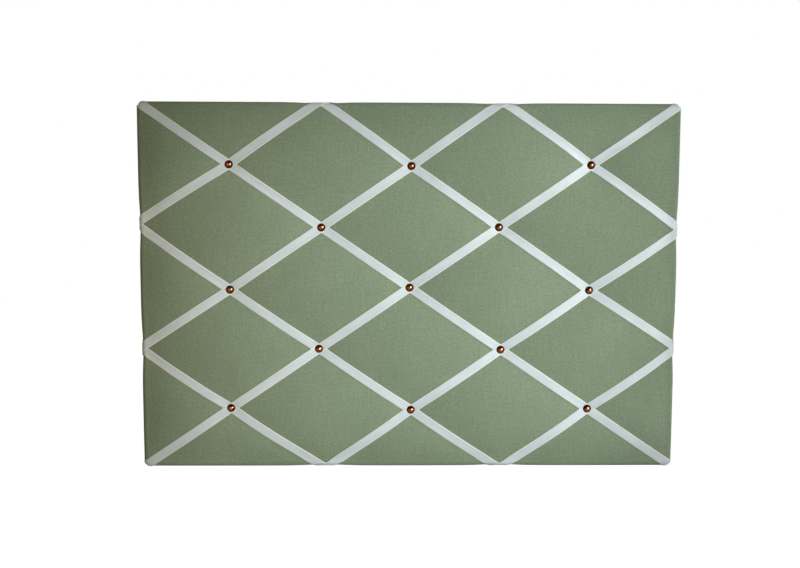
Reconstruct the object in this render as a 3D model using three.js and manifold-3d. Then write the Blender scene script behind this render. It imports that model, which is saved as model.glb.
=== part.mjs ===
// French memo board: a padded cloth board with a diamond lattice of ribbons held by domed nails.
// Millimetres. X to the right seen from the front, Y towards the wall, Z up.
// The origin is the middle of the back panel's rear face, which faces the wall.

import * as THREE from 'three';
import { mergeVertices } from 'three/addons/utils/BufferGeometryUtils.js';
import Module from 'manifold-3d';

// Core board
const CORE_WIDTH = 600;
const CORE_HEIGHT = 404;
const CORE_THICKNESS = 9;
const CORE_CORNER_RADIUS = 1.5;

// Wadding, pressed thin by the ribbons, more so by the nails, and towards the edge
const WADDING_SIDE = 5;
const WADDING_CROWN = 7.4;
const WADDING_UNDER_RIBBON = 5;
const WADDING_UNDER_NAIL = 1.2;
const WADDING_AT_EDGE = 5.6;
const RIBBON_PRESS_REACH = 24;
const NAIL_PRESS_REACH = 34;
const EDGE_PRESS_REACH = 26;

// Cloth cover, rolled over the front edge and turned under at the back
const COVER_THICKNESS = 0.8;
const COVER_ROLL = 7;
const COVER_SHOULDER = 1;
const COVER_TURN_UNDER = 40;

// Ribbons. Each lies flat a margin past a crossing and ramps down from it. Near the edge it settles on the
// cover, and the upper one of a pair then lifts over the lower one. The drift is how far each pair's meeting
// point was laid off its even share of the edge.
const RIBBON_WIDTH = 10;
const RIBBON_THICKNESS = 0.5;
const RIBBON_GAP = 0.4;
const RIBBON_TAIL = 30;
const RIBBON_RAMP = 11;
const CROSSING_MARGIN = 1.5;
const EDGE_SETTLE = 12;
const EDGE_LIFT = 4;
const TOP_DRIFT = [0, 4];
const BOTTOM_DRIFT = [5, 0];
const LEFT_DRIFT = [-3, -3];
const RIGHT_DRIFT = [-3, -3];

// Domed nails
const NAIL_HEAD_DIAMETER = 10;
const NAIL_HEAD_HEIGHT = 3.6;
const NAIL_RIM = 0.6;
const NAIL_SHANK_DIAMETER = 1.6;
const NAIL_POINT = 2.5;
const NAIL_LENGTH = 12;

// Staples through the ribbon ends
const STAPLE_CROWN = 8;
const STAPLE_WIRE_WIDTH = 1.2;
const STAPLE_WIRE_THICKNESS = 0.6;
const STAPLE_LEG = 7;
const STAPLE_SETBACK = 5;

// Back panel and its pins
const PANEL_THICKNESS = 2.5;
const PANEL_INSET = 14;
const PANEL_CORNER_RADIUS = 3;
const PIN_HEAD_DIAMETER = 3.2;
const PIN_HEAD_HEIGHT = 0.8;
const PIN_SHANK_DIAMETER = 1.2;
const PIN_POINT = 1.5;
const PIN_LENGTH = 10;
const PIN_EDGE_INSET = 10;
const PIN_END_INSET = 45;

// D-ring hangers
const HANGER_SPACING = 300;
const HANGER_DROP = 60;
const STRAP_WIDTH = 11;
const STRAP_THICKNESS = 0.9;
const STRAP_LENGTH = 20;
const STRAP_NECK = 5;
const STRAP_LAYER_GAP = 0.2;
const RING_WIRE_DIAMETER = 2.5;
const RING_WIDTH = 20;
const RING_HEIGHT = 18;
const RING_CORNER_RADIUS = 3;
const STRAP_LOOP_END_DEGREES = -50;
const SCREW_DROP = 13;
const SCREW_HEAD_DIAMETER = 6.4;
const SCREW_HEAD_HEIGHT = 2;
const SCREW_SHANK_DIAMETER = 3;
const SCREW_POINT = 2.5;
const SCREW_LENGTH = 12;
const RECESS_SPAN = 3.6;
const RECESS_WIDTH = 0.8;
const RECESS_DEPTH = 1;

// Clearances
const FIT_GAP = 0.3;
const POINT_GAP = 0.5;

// Fineness of the faceted surfaces
const CELLS_PER_DIAMOND = 4;
const ROUND_STEPS = 12;
const WIRE_STEPS = 8;
const HOLE_STEPS = 6;
const CORNER_STEPS = 3;
const NAIL_DOME_STEPS = 4;
const SCREW_DOME_STEPS = 2;
const PIN_DOME_STEPS = 1;
const WELD_DISTANCE = 1e-4;

// Outline of the covered board
const PAD_SIDE = FIT_GAP + WADDING_SIDE + FIT_GAP + COVER_THICKNESS;
const HALF_WIDTH = CORE_WIDTH / 2 + PAD_SIDE;
const HALF_HEIGHT = CORE_HEIGHT / 2 + PAD_SIDE;
const CORNER_RADIUS = CORE_CORNER_RADIUS + PAD_SIDE;
const CELLS = CELLS_PER_DIAMOND * (TOP_DRIFT.length + 1);

// Levels, measured forward from the core's front face
const COVER_BACK = -(CORE_THICKNESS + FIT_GAP + COVER_THICKNESS);
const RIBBON_BACK = COVER_BACK - RIBBON_GAP - RIBBON_THICKNESS;
const STAPLE_SEAT = RIBBON_BACK - FIT_GAP;
const PANEL_FRONT = STAPLE_SEAT - STAPLE_WIRE_THICKNESS - FIT_GAP;
const WALL_FACE = PANEL_FRONT - PANEL_THICKNESS;

const PANEL_HALF_WIDTH = HALF_WIDTH - PANEL_INSET;
const PANEL_HALF_HEIGHT = HALF_HEIGHT - PANEL_INSET;

const wasm = await Module();
wasm.setup();
const board = new THREE.Group();

const flat = (x, z) => new THREE.Vector2(x, z);
const yAt = (out) => WALL_FACE - out;
const place = (plan, out) => new THREE.Vector3(plan.x, yAt(out), plan.y);

// Solids and meshes

/** A geometry from triangles of points; triangles folded to nothing are left out. */
function geometryOfTriangles(triangles) {
  const solid = triangles.filter(([a, b, c]) => a.distanceTo(b) && b.distanceTo(c) && c.distanceTo(a));
  return new THREE.BufferGeometry().setFromPoints(solid.flat());
}

/** The triangles of a four-sided face. */
function quad(a, b, c, d) {
  return [[a, b, c], [a, c, d]];
}

function solidOf(geometry) {
  const bare = geometry.clone();
  bare.deleteAttribute('normal');
  bare.deleteAttribute('uv');
  const merged = mergeVertices(bare, WELD_DISTANCE);
  return new wasm.Manifold(new wasm.Mesh({
    numProp: 3,
    vertProperties: new Float32Array(merged.attributes.position.array),
    triVerts: new Uint32Array(merged.index.array),
  }));
}

function geometryOf(solid) {
  const mesh = solid.getMesh();
  const geometry = new THREE.BufferGeometry();
  geometry.setAttribute('position', new THREE.BufferAttribute(mesh.vertProperties, mesh.numProp));
  geometry.setIndex(new THREE.BufferAttribute(mesh.triVerts, 1));
  return geometry;
}

function cut(geometry, cutters) {
  const solid = cutters.reduce((rest, cutter) => rest.subtract(solidOf(cutter)), solidOf(geometry));
  return geometryOf(solid);
}

function addPiece(name, geometry, finish) {
  const material = new THREE.MeshStandardMaterial(finish);
  const mesh = new THREE.Mesh(geometry, material);
  mesh.name = name;
  board.add(mesh);
  return mesh;
}

const CLOTH = { color: 0x839479, roughness: 0.9, metalness: 0 };
const WADDING = { color: 0xf2f0ea, roughness: 1, metalness: 0 };
const SATIN = { color: 0xdde6e6, roughness: 0.4, metalness: 0 };
const FIBREBOARD = { color: 0xa9855b, roughness: 0.8, metalness: 0 };
const HARDBOARD = { color: 0x7a5a3c, roughness: 0.7, metalness: 0 };
const COPPER = { color: 0x8a4a2c, roughness: 0.25, metalness: 1 };
const STEEL = { color: 0xb8babc, roughness: 0.35, metalness: 1 };

// Lattice of ribbons

/** Where the k-th pair of ribbons meets along an edge, counted from its low end. */
function meeting(half, drift, k) {
  return -half + 2 * half * (k + 1) / (drift.length + 1) + drift[k];
}

const endAt = (x, z, outward) => ({ at: flat(x, z), outward });
const onTop = (k) => endAt(meeting(HALF_WIDTH, TOP_DRIFT, k), HALF_HEIGHT, flat(0, 1));
const onBottom = (k) => endAt(meeting(HALF_WIDTH, BOTTOM_DRIFT, k), -HALF_HEIGHT, flat(0, -1));
const onLeft = (k) => endAt(-HALF_WIDTH, meeting(HALF_HEIGHT, LEFT_DRIFT, k), flat(-1, 0));
const onRight = (k) => endAt(HALF_WIDTH, meeting(HALF_HEIGHT, RIGHT_DRIFT, k), flat(1, 0));
const onCorner = (side, end) => endAt(side * HALF_WIDTH, end * HALF_HEIGHT, null);

const FALLING = [
  [onLeft(0), onBottom(0)],
  [onLeft(1), onBottom(1)],
  [onCorner(-1, 1), onCorner(1, -1)],
  [onTop(0), onRight(0)],
  [onTop(1), onRight(1)],
].map((ends) => ribbonLine(ends, false));

const RISING = [
  [onLeft(1), onTop(0)],
  [onLeft(0), onTop(1)],
  [onCorner(-1, -1), onCorner(1, 1)],
  [onBottom(0), onRight(1)],
  [onBottom(1), onRight(0)],
].map((ends) => ribbonLine(ends, true));

function ribbonLine(ends, upper) {
  const start = ends[0].at;
  const heading = ends[1].at.clone().sub(start);
  const length = heading.length();
  heading.normalize();
  return { ends, upper, start, heading, length, across: flat(-heading.y, heading.x) };
}

const alongRibbon = (ribbon, s) => ribbon.start.clone().addScaledVector(ribbon.heading, s);

/** How far along a ribbon another one crosses it. */
function crossingDistance(ribbon, other) {
  const apart = other.start.clone().sub(ribbon.start);
  return apart.dot(other.across) / ribbon.heading.dot(other.across);
}

const insideRoll = (plan) => Math.abs(plan.x) < HALF_WIDTH - COVER_ROLL
  && Math.abs(plan.y) < HALF_HEIGHT - COVER_ROLL;

const CROSSINGS = FALLING.flatMap((lower) => RISING.map((upper) => {
  const at = alongRibbon(lower, crossingDistance(lower, upper));
  return { lower, upper, at };
})).filter((crossing) => insideRoll(crossing.at));

// Padded form

/** Height of the cover's face over the core: crowned between ribbons, pressed under them and at nails. */
function coverHeight(plan) {
  const fromRibbon = Math.min(...[...FALLING, ...RISING].map(
    (ribbon) => Math.abs(plan.clone().sub(ribbon.start).dot(ribbon.across))));
  const fromNail = Math.min(...CROSSINGS.map((crossing) => crossing.at.distanceTo(plan)));
  const fromEdge = Math.min(
    HALF_WIDTH - COVER_ROLL - Math.abs(plan.x), HALF_HEIGHT - COVER_ROLL - Math.abs(plan.y));
  const press = (ratio, distance, reach) => 1 + (ratio - 1) * Math.exp(-((distance / reach) ** 2));
  const wadding = WADDING_CROWN
    * press(WADDING_UNDER_RIBBON / WADDING_CROWN, fromRibbon, RIBBON_PRESS_REACH)
    * press(WADDING_UNDER_NAIL / WADDING_UNDER_RIBBON, fromNail, NAIL_PRESS_REACH)
    * press(WADDING_AT_EDGE / WADDING_CROWN, fromEdge, EDGE_PRESS_REACH);
  return FIT_GAP + wadding + FIT_GAP + COVER_THICKNESS;
}

/** Plan point of a grid node whose outer rows lie a given distance inside the outline. */
function gridPlan(i, j, inset) {
  const share = (index, half) => (2 * index / CELLS - 1) * (half - inset);
  return flat(share(i, HALF_WIDTH), share(j, HALF_HEIGHT));
}

const NODE_HEIGHT = Array.from({ length: CELLS + 1 }, (_, i) => Array.from(
  { length: CELLS + 1 }, (_, j) => coverHeight(gridPlan(i, j, COVER_ROLL))));

/** Height of the faceted cover at a plan point, held to its edge outside the grid. */
function facetHeight(plan) {
  const index = (value, half) => (value / (half - COVER_ROLL) + 1) * CELLS / 2;
  const u = THREE.MathUtils.clamp(index(plan.x, HALF_WIDTH), 0, CELLS);
  const v = THREE.MathUtils.clamp(index(plan.y, HALF_HEIGHT), 0, CELLS);
  const i = Math.min(Math.floor(u), CELLS - 1);
  const j = Math.min(Math.floor(v), CELLS - 1);
  const a = u - i;
  const b = v - j;
  const low = NODE_HEIGHT[i][j];
  const right = NODE_HEIGHT[i + 1][j];
  const top = NODE_HEIGHT[i][j + 1];
  const high = NODE_HEIGHT[i + 1][j + 1];
  if ((i + j) % 2 === 0) {
    return a > b ? low + a * (right - low) + b * (high - right) : low + b * (top - low) + a * (high - top);
  }
  return a + b < 1
    ? low + a * (right - low) + b * (top - low)
    : high + (1 - a) * (top - high) + (1 - b) * (right - high);
}

/** The nodes round the board, counterclockwise from the front; a corner is three nodes on its arc. */
const RIM = [[0, 0], [CELLS, 0], [CELLS, CELLS], [0, CELLS]].flatMap(([i, j], k, corners) => {
  const [nextI, nextJ] = corners[(k + 1) % corners.length];
  const arc = [0, 1, 2].map((step) => ({ i, j, turn: Math.PI * (1 + k / 2 + step / 4) }));
  const side = Array.from({ length: CELLS - 1 }, (_, n) => {
    const share = (n + 1) / CELLS;
    return { i: Math.round(i + (nextI - i) * share), j: Math.round(j + (nextJ - j) * share), turn: null };
  });
  return [...arc, ...side];
});

function rimPlan(node, inset, sharp) {
  const radius = CORNER_RADIUS - inset;
  if (node.turn === null || sharp || radius <= 0) {
    return gridPlan(node.i, node.j, inset);
  }
  const centre = gridPlan(node.i, node.j, CORNER_RADIUS);
  return centre.add(flat(Math.cos(node.turn), Math.sin(node.turn)).multiplyScalar(radius));
}

/** A closed skin: a front sheet, rings that lead from its edge round to the back sheet's edge. */
function paddedSolid(front, rings, back) {
  const triangles = [];
  const sheet = (surface, forward) => {
    const node = (i, j) => place(gridPlan(i, j, surface.inset), surface.out(NODE_HEIGHT[i][j]));
    for (let i = 0; i < CELLS; i += 1) {
      for (let j = 0; j < CELLS; j += 1) {
        const corners = [node(i, j), node(i + 1, j), node(i + 1, j + 1), node(i, j + 1)];
        const turned = (i + j) % 2 === 0 ? corners : [...corners.slice(1), corners[0]];
        triangles.push(...quad(...(forward ? turned : [turned[0], turned[3], turned[2], turned[1]])));
      }
    }
  };
  sheet(front, true);
  sheet(back, false);
  const loops = [{ ...front, sharp: true }, ...rings, { ...back, sharp: true }].map(
    (ring) => RIM.map((node) => place(
      rimPlan(node, ring.inset, ring.sharp), ring.out(NODE_HEIGHT[node.i][node.j]))));
  for (let n = 0; n + 1 < loops.length; n += 1) {
    RIM.forEach((_, k) => {
      const next = (k + 1) % RIM.length;
      triangles.push(...quad(loops[n][k], loops[n + 1][k], loops[n + 1][next], loops[n][next]));
    });
  }
  return geometryOfTriangles(triangles);
}

/** Rings of the rolled edge and the straight side for a skin that lies a depth under the cover's face. */
function rollRings(depth) {
  const reach = COVER_ROLL - depth;
  return [
    {
      inset: COVER_ROLL - reach * Math.SQRT1_2,
      out: (height) => (height - depth + COVER_SHOULDER) * Math.SQRT1_2 - COVER_SHOULDER,
    },
    { inset: depth, out: () => -COVER_SHOULDER },
  ];
}

function coverGeometry() {
  const ring = (inset, out) => ({ inset, out: () => out });
  const inside = COVER_BACK + COVER_THICKNESS;
  return paddedSolid(
    { inset: COVER_ROLL, out: (height) => height },
    [
      ...rollRings(0),
      ring(0, inside),
      ring(COVER_THICKNESS, COVER_BACK),
      ring(COVER_TURN_UNDER, COVER_BACK),
      ring(COVER_TURN_UNDER, inside),
      ring(COVER_THICKNESS, inside),
      ...rollRings(COVER_THICKNESS).reverse(),
    ],
    { inset: COVER_ROLL, out: (height) => height - COVER_THICKNESS },
  );
}

function waddingGeometry() {
  const depth = COVER_THICKNESS + FIT_GAP;
  const inner = depth + WADDING_SIDE;
  const ring = (inset, out) => ({ inset, out: () => out });
  return paddedSolid(
    { inset: COVER_ROLL, out: (height) => height - depth },
    [
      ...rollRings(depth),
      ring(depth, -CORE_THICKNESS),
      ring(inner, -CORE_THICKNESS),
      ring(inner, FIT_GAP),
    ],
    { inset: CORNER_RADIUS, out: () => FIT_GAP },
  );
}

// Ribbons

const [fallingDiagonal, risingDiagonal] = [FALLING, RISING].map((family) => family[(family.length - 1) / 2]);
const CROSSING_ANGLE = Math.acos(Math.abs(fallingDiagonal.heading.dot(risingDiagonal.heading)));
const CROSSING_REACH = RIBBON_WIDTH / 2 * (1 / Math.sin(CROSSING_ANGLE) + 1 / Math.tan(CROSSING_ANGLE));
const FLAT_REACH = Math.max(CROSSING_REACH, NAIL_HEAD_DIAMETER / 2) + CROSSING_MARGIN;
const RAMP_REACH = FLAT_REACH + RIBBON_RAMP;
const OVER_RIBBON = RIBBON_THICKNESS + FIT_GAP;

/** Level of the lower ribbon's underside at a crossing, clear of the cover all round. */
function crossingSeat(crossing) {
  const round = Array.from({ length: ROUND_STEPS }, (_, k) => {
    const angle = 2 * Math.PI * k / ROUND_STEPS;
    return crossing.at.clone().add(flat(Math.cos(angle), Math.sin(angle)).multiplyScalar(FLAT_REACH));
  });
  return Math.max(...[crossing.at, ...round].map(facetHeight)) + RIBBON_GAP;
}

CROSSINGS.forEach((crossing) => {
  crossing.seat = crossingSeat(crossing);
  crossing.nailSeat = crossing.seat + 2 * OVER_RIBBON;
});

/** Level of a ribbon's underside where it lies straight on the cover. */
function drape(ribbon, s) {
  const samples = [-FLAT_REACH, 0, FLAT_REACH].flatMap((ahead) => [-1, 0, 1].map((side) => facetHeight(
    alongRibbon(ribbon, s + ahead).addScaledVector(ribbon.across, side * RIBBON_WIDTH / 2))));
  return Math.max(...samples) + RIBBON_GAP;
}

/** Four points of a ribbon's section from its two inner edges and its two outer ones. */
const section = (inner, outer) => [inner[1], inner[0], outer[0], outer[1]];

function squareSection(ribbon, s, under) {
  const edge = (side, out) => place(
    alongRibbon(ribbon, s).addScaledVector(ribbon.across, side * RIBBON_WIDTH / 2), out);
  const over = under + RIBBON_THICKNESS;
  return section([edge(1, under), edge(-1, under)], [edge(1, over), edge(-1, over)]);
}

/** Path of the cover's outside from the front round to the back, as distance past the outline and level. */
function wrapPath(height, startInset) {
  const [roll, side] = rollRings(0);
  return [
    flat(-startInset, height),
    flat(-roll.inset, roll.out(height)),
    flat(-side.inset, side.out(height)),
    flat(0, COVER_BACK + COVER_THICKNESS),
    flat(-COVER_THICKNESS, COVER_BACK),
    flat(-COVER_THICKNESS - RIBBON_TAIL, COVER_BACK),
  ];
}

/** The same path moved outwards by a lift at each of its points. */
function liftedPath(path, lifts) {
  const normals = path.slice(1).map((point, k) => {
    const step = point.clone().sub(path[k]).normalize();
    return flat(-step.y, step.x);
  });
  return path.map((point, k) => {
    const before = k === 0 ? flat(0, 1) : normals[k - 1];
    const after = k < normals.length ? normals[k] : before;
    const middle = before.clone().add(after).normalize();
    return point.clone().addScaledVector(middle, lifts[k] / middle.dot(before));
  });
}

// At which points of that path the upper ribbon of a pair is lifted over the lower one; the last is its end
const PAIR_LIFTED = [1, 1, 1, 1, 0, 0];
const TAIL_END = PAIR_LIFTED.length - 1;

/** Sections of a ribbon's end that turns over a straight edge, cut parallel to that edge. */
function edgeSections(ribbon, end, heading) {
  const along = flat(-end.outward.y, end.outward.x);
  const climb = heading.dot(end.outward);
  const slide = heading.dot(along) / climb;
  const reach = RIBBON_WIDTH / 2 / climb;
  const edge = Math.abs(end.at.dot(end.outward));
  const middle = (run) => end.at.dot(along) + slide * (run - COVER_ROLL);
  const turn = Math.sign(ribbon.across.dot(along));
  const at = (e, past) => along.clone().multiplyScalar(e).addScaledVector(end.outward, edge + past);
  const raise = ribbon.upper ? OVER_RIBBON : 0;

  const onFace = (run, extra) => {
    const ends = [turn, -turn].map((side) => at(middle(run) + side * reach, run - COVER_ROLL));
    const under = Math.max(facetHeight(ends[0]), facetHeight(ends[1])) + RIBBON_GAP + extra;
    return section(
      ends.map((plan) => place(plan, under)), ends.map((plan) => place(plan, under + RIBBON_THICKNESS)));
  };

  const corePath = wrapPath(facetHeight(at(middle(0), -COVER_ROLL)), COVER_ROLL);
  let run = 0;
  const runs = corePath.map((point, k) => {
    run += k === 0 ? 0 : point.distanceTo(corePath[k - 1]);
    return run;
  });
  const wrapped = runs.map((distance, k) => {
    const edgePoint = (side, thickness) => {
      const e = middle(distance) + side * reach;
      const path = wrapPath(facetHeight(at(e, -COVER_ROLL)), COVER_ROLL);
      const lifts = PAIR_LIFTED.map((lifted) => RIBBON_GAP + lifted * raise + thickness);
      const point = liftedPath(path, lifts)[k];
      return place(at(e, point.x), point.y);
    };
    return section(
      [edgePoint(turn, 0), edgePoint(-turn, 0)],
      [edgePoint(turn, RIBBON_THICKNESS), edgePoint(-turn, RIBBON_THICKNESS)]);
  });

  const tailRun = runs[TAIL_END] - STAPLE_SETBACK;
  const staplePlan = at(middle(tailRun), corePath[TAIL_END].x + STAPLE_SETBACK);
  const tailHeading = along.clone().multiplyScalar(heading.dot(along)).addScaledVector(end.outward, -climb);
  return {
    sections: [onFace(-EDGE_SETTLE, 0), onFace(-EDGE_LIFT, raise), ...wrapped],
    staple: { plan: staplePlan, across: flat(-tailHeading.y, tailHeading.x) },
  };
}

/** Sections of a ribbon's end that turns over a corner of the board, cut square to the ribbon. */
function cornerSections(ribbon, end, heading) {
  const spread = Math.abs(heading.x) + Math.abs(heading.y);
  const corner = end.at.dot(heading);
  const tip = corner - CORNER_RADIUS * (spread - 1);
  const rollInset = COVER_ROLL * spread - (corner - tip);
  const height = facetHeight(end.at);
  const path = wrapPath(height, rollInset);
  const inner = liftedPath(path, path.map(() => RIBBON_GAP));
  const outer = liftedPath(path, path.map(() => RIBBON_GAP + RIBBON_THICKNESS));
  const edges = (point) => [1, -1].map((side) => place(
    heading.clone().multiplyScalar(tip + point.x).addScaledVector(ribbon.across, side * RIBBON_WIDTH / 2),
    point.y));
  const wrapped = inner.map((point, k) => section(edges(point), edges(outer[k])));
  const stapleReach = tip + path[TAIL_END].x + STAPLE_SETBACK;
  return {
    sections: wrapped,
    staple: { plan: heading.clone().multiplyScalar(stapleReach), across: ribbon.across },
  };
}

function endSections(ribbon, end, heading) {
  return end.outward ? edgeSections(ribbon, end, heading) : cornerSections(ribbon, end, heading);
}

/** Sections over the face of the board: flat at the crossings, lying on the cover between them. */
function faceSections(ribbon) {
  const crossings = CROSSINGS.filter((crossing) => crossing.lower === ribbon || crossing.upper === ribbon)
    .map((crossing) => ({ seat: crossing.seat, s: crossing.at.clone().sub(ribbon.start).length() }))
    .sort((a, b) => a.s - b.s);
  const stops = [0, ...crossings.map((crossing) => crossing.s), ribbon.length];
  const sections = [];
  const lie = (s) => sections.push(squareSection(ribbon, s, drape(ribbon, s)));
  crossings.forEach((crossing, k) => {
    const seat = crossing.seat + (ribbon.upper ? OVER_RIBBON : 0);
    lie((stops[k] + crossing.s) / 2);
    lie(crossing.s - RAMP_REACH);
    sections.push(squareSection(ribbon, crossing.s - FLAT_REACH, seat));
    sections.push(squareSection(ribbon, crossing.s + FLAT_REACH, seat));
    lie(crossing.s + RAMP_REACH);
  });
  lie((stops[stops.length - 2] + ribbon.length) / 2);
  return sections;
}

/** A closed strip through its sections. */
function stripGeometry(sections) {
  const triangles = [];
  for (let n = 0; n + 1 < sections.length; n += 1) {
    sections[n].forEach((point, k) => {
      const next = (k + 1) % sections[n].length;
      triangles.push(...quad(point, sections[n][next], sections[n + 1][next], sections[n + 1][k]));
    });
  }
  const [a, b, c, d] = sections[0];
  triangles.push(...quad(d, c, b, a));
  triangles.push(...quad(...sections[sections.length - 1]));
  return geometryOfTriangles(triangles);
}

// Cutters

/** A hole along Y between two levels, whose flat sides clear a round shank. */
function hole(plan, shankDiameter, fromOut, toOut) {
  const radius = (shankDiameter / 2 + FIT_GAP) / Math.cos(Math.PI / HOLE_STEPS);
  const geometry = new THREE.CylinderGeometry(radius, radius, Math.abs(fromOut - toOut), HOLE_STEPS);
  return geometry.translate(plan.x, yAt((fromOut + toOut) / 2), plan.y);
}

/** The turn that lays a staple's crown along a plan direction, with its legs pointing forward. */
function stapleMatrix(staple) {
  const crown = new THREE.Vector3(staple.across.x, 0, staple.across.y).normalize();
  const leg = new THREE.Vector3(0, -1, 0);
  const matrix = new THREE.Matrix4().makeBasis(crown, leg, crown.clone().cross(leg));
  return matrix.setPosition(place(staple.plan, STAPLE_SEAT));
}

/** A box that clears a width of the staple at a place along its crown, down past the legs' points. */
function stapleBox(staple, middle, width) {
  const slot = new THREE.BoxGeometry(
    width + 2 * FIT_GAP, 2 * (STAPLE_LEG + POINT_GAP), STAPLE_WIRE_WIDTH + 2 * FIT_GAP);
  return slot.translate(middle, 0, 0).applyMatrix4(stapleMatrix(staple));
}

const legSlots = (staple) => [-1, 1].map((side) => stapleBox(
  staple, side * (STAPLE_CROWN - STAPLE_WIRE_THICKNESS) / 2, STAPLE_WIRE_THICKNESS));
const clothSlit = (staple) => stapleBox(staple, 0, STAPLE_CROWN);

const nailHoles = CROSSINGS.map((crossing) => ({
  crossing,
  cutter: hole(
    crossing.at, NAIL_SHANK_DIAMETER,
    crossing.nailSeat + FIT_GAP, crossing.nailSeat - NAIL_LENGTH - POINT_GAP),
}));

const pinPlans = [-1, 0, 1].flatMap((column) => [-1, 1].map((row) => flat(
  column * (PANEL_HALF_WIDTH - PIN_END_INSET), row * (PANEL_HALF_HEIGHT - PIN_EDGE_INSET))));
const PIN_SEAT = WALL_FACE + PIN_HEAD_HEIGHT;
const pinHoles = pinPlans.map((plan) => hole(
  plan, PIN_SHANK_DIAMETER, WALL_FACE - FIT_GAP, PIN_SEAT + PIN_LENGTH + POINT_GAP));
const pinRecesses = pinPlans.map((plan) => hole(
  plan, PIN_HEAD_DIAMETER, WALL_FACE - FIT_GAP, PIN_SEAT + FIT_GAP));

const STRAP_STACK = 2 * STRAP_THICKNESS + STRAP_LAYER_GAP;
const hangerPlan = (side) => flat(side * HANGER_SPACING / 2, PANEL_HALF_HEIGHT - HANGER_DROP);
const hangerPlans = { left: hangerPlan(-1), right: hangerPlan(1) };
const screwPlan = (hanger) => hanger.clone().sub(flat(0, SCREW_DROP));
const screwHoles = Object.values(hangerPlans).map((hanger) => hole(
  screwPlan(hanger), SCREW_SHANK_DIAMETER,
  WALL_FACE - STRAP_STACK - FIT_GAP, WALL_FACE - STRAP_STACK + SCREW_LENGTH + POINT_GAP));

// Outlines

function roundedOutline(halfWidth, halfHeight, radius) {
  const shape = new THREE.Shape();
  shape.moveTo(-halfWidth + radius, -halfHeight);
  shape.absarc(halfWidth - radius, -halfHeight + radius, radius, -Math.PI / 2, 0);
  shape.absarc(halfWidth - radius, halfHeight - radius, radius, 0, Math.PI / 2);
  shape.absarc(-halfWidth + radius, halfHeight - radius, radius, Math.PI / 2, Math.PI);
  shape.absarc(-halfWidth + radius, -halfHeight + radius, radius, Math.PI, 1.5 * Math.PI);
  return shape;
}

/** A plate in the board's plane, from its rear level forward by its thickness. */
function plateGeometry(shape, rearOut, thickness) {
  const geometry = new THREE.ExtrudeGeometry(
    shape, { depth: thickness, bevelEnabled: false, curveSegments: CORNER_STEPS });
  return geometry.rotateX(Math.PI / 2).translate(0, yAt(rearOut), 0);
}

/** A domed head over a pointed shank; the seat under the head is at height zero. */
function nailProfile(head, shank) {
  const dome = Array.from({ length: head.steps + 1 }, (_, k) => {
    const angle = Math.PI / 2 * k / head.steps;
    const rise = head.rim + (head.height - head.rim) * Math.sin(angle);
    return flat(k === head.steps ? 0 : head.diameter / 2 * Math.cos(angle), rise);
  });
  return [
    flat(0, -shank.length),
    flat(shank.diameter / 2, shank.point - shank.length),
    flat(shank.diameter / 2, 0),
    flat(head.diameter / 2, 0),
    ...dome,
  ];
}

// Core, wadding and cover

const ribbons = [...FALLING, ...RISING].map((ribbon) => {
  const first = endSections(ribbon, ribbon.ends[0], ribbon.heading.clone().negate());
  const last = endSections(ribbon, ribbon.ends[1], ribbon.heading);
  const sections = [...first.sections.reverse(), ...faceSections(ribbon), ...last.sections];
  return { ribbon, sections, staples: [first.staple, last.staple] };
});
const staplesOfAll = ribbons.flatMap(({ staples }) => staples);
const nailCutters = nailHoles.map(({ cutter }) => cutter);

const coreOutline = roundedOutline(CORE_WIDTH / 2, CORE_HEIGHT / 2, CORE_CORNER_RADIUS);
const coreBlank = plateGeometry(coreOutline, -CORE_THICKNESS, CORE_THICKNESS);
const coreCutters = [...nailCutters, ...staplesOfAll.flatMap(legSlots), ...pinHoles, ...screwHoles];
addPiece('core_board', cut(coreBlank, coreCutters), FIBREBOARD);
addPiece('wadding', cut(waddingGeometry(), nailCutters), WADDING);
const coverCutters = [...nailCutters, ...staplesOfAll.map(clothSlit), ...pinHoles];
addPiece('fabric_cover', cut(coverGeometry(), coverCutters), CLOTH);

// Ribbons and nails

ribbons.forEach(({ ribbon, sections, staples }) => {
  const family = ribbon.upper ? RISING : FALLING;
  const holes = nailHoles.filter(({ crossing }) => crossing.lower === ribbon || crossing.upper === ribbon);
  const cutters = [...holes.map(({ cutter }) => cutter), ...staples.flatMap(legSlots)];
  const name = `ribbon_${ribbon.upper ? 'rising' : 'falling'}_${family.indexOf(ribbon) + 1}`;
  addPiece(name, cut(stripGeometry(sections), cutters), SATIN);
});

CROSSINGS.forEach((crossing, k) => {
  const head = {
    diameter: NAIL_HEAD_DIAMETER,
    height: NAIL_HEAD_HEIGHT,
    rim: NAIL_RIM,
    steps: NAIL_DOME_STEPS,
  };
  const shank = { diameter: NAIL_SHANK_DIAMETER, length: NAIL_LENGTH, point: NAIL_POINT };
  const lathe = new THREE.LatheGeometry(nailProfile(head, shank), ROUND_STEPS);
  const nail = addPiece(`nail_${k + 1}`, lathe, COPPER);
  nail.rotation.x = Math.PI;
  nail.position.copy(place(crossing.at, crossing.nailSeat));
});

// Staples

function stapleGeometry() {
  const half = STAPLE_CROWN / 2;
  const wire = STAPLE_WIRE_THICKNESS;
  const shape = new THREE.Shape([
    flat(-half, -wire), flat(half, -wire), flat(half, STAPLE_LEG), flat(half - wire, STAPLE_LEG),
    flat(half - wire, 0), flat(wire - half, 0), flat(wire - half, STAPLE_LEG), flat(-half, STAPLE_LEG),
  ]);
  const geometry = new THREE.ExtrudeGeometry(shape, { depth: STAPLE_WIRE_WIDTH, bevelEnabled: false });
  return geometry.translate(0, 0, -STAPLE_WIRE_WIDTH / 2);
}

staplesOfAll.forEach((staple, k) => {
  const mesh = addPiece(`staple_${k + 1}`, stapleGeometry(), STEEL);
  const matrix = stapleMatrix(staple);
  mesh.quaternion.setFromRotationMatrix(matrix);
  mesh.position.setFromMatrixPosition(matrix);
});

// Back panel and pins

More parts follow.
